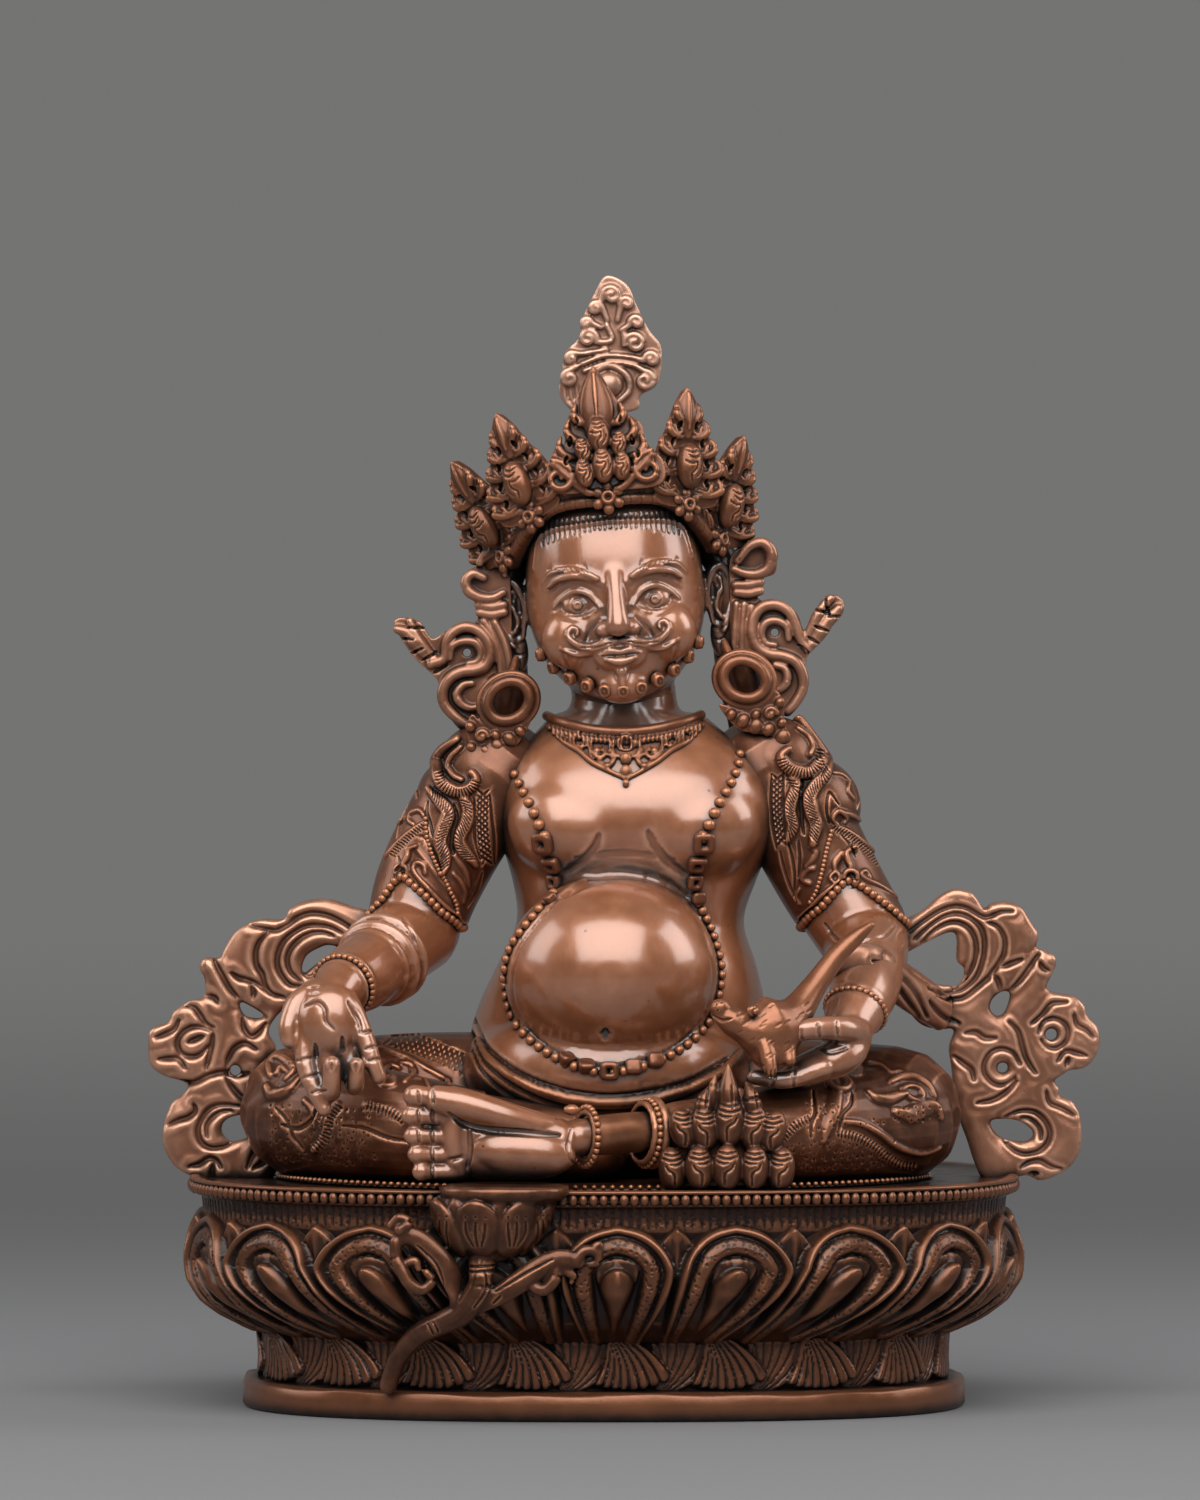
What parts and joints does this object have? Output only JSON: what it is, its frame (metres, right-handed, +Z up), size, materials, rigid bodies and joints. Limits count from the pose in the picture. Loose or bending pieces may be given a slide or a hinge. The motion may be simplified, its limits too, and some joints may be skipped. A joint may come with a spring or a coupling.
{
  "type": "seated deity statue",
  "caption": "Patinated copper statue of a seated wealth deity with a round belly, leaf crown, looping scarves, mongoose and jewel heap, on an oval lotus pedestal",
  "frame": {"origin": "middle of the pedestal's flat foot, in the plane it stands on", "axes": "+X to the figure's left, +Y to its back, +Z up; the figure faces -Y"},
  "size_m": [0.186, 0.1305, 0.22],
  "materials": {
    "patinated_copper": "cast copper, chased and oxidised brown, burnished on the high places",
    "polished_copper": "cast copper, smooth and waxed, oxidised to a warm brown",
    "dark_copper": "cast copper, engraved, with dark patina left in the hollows",
    "bare_copper": "dull copper sheet and rod"
  },
  "bodies": {
    "root": {"closing_plate": "bare_copper", "collar": "patinated_copper", "crown_band": "patinated_copper", "crown_leaf_front": "patinated_copper", "crown_leaf_inner_left": "patinated_copper", "crown_leaf_inner_right": "patinated_copper", "crown_leaf_outer_left": "patinated_copper", "crown_leaf_outer_right": "patinated_copper", "crown_rosette_front": "patinated_copper", "crown_rosette_inner_left": "patinated_copper", "crown_rosette_inner_right": "patinated_copper", "crown_rosette_outer_left": "patinated_copper", "crown_rosette_outer_right": "patinated_copper", "foot_lotus": "patinated_copper", "head": "polished_copper", "head_pin": "bare_copper", "jewel_heap": "dark_copper", "left_arm": "polished_copper", "left_arm_pin": "bare_copper", "left_earring": "patinated_copper", "left_ribbon": "patinated_copper", "left_scarf": "patinated_copper", "left_scarf_pin": "bare_copper", "left_seat_pin": "bare_copper", "legs": "dark_copper", "lotus_pedestal": "patinated_copper", "mongoose": "patinated_copper", "right_arm": "polished_copper", "right_arm_pin": "bare_copper", "right_earring": "patinated_copper", "right_ribbon": "patinated_copper", "right_scarf": "patinated_copper", "right_scarf_pin": "bare_copper", "right_seat_pin": "bare_copper", "topknot_finial": "patinated_copper", "torso": "polished_copper"}
  },
  "joints": []
}
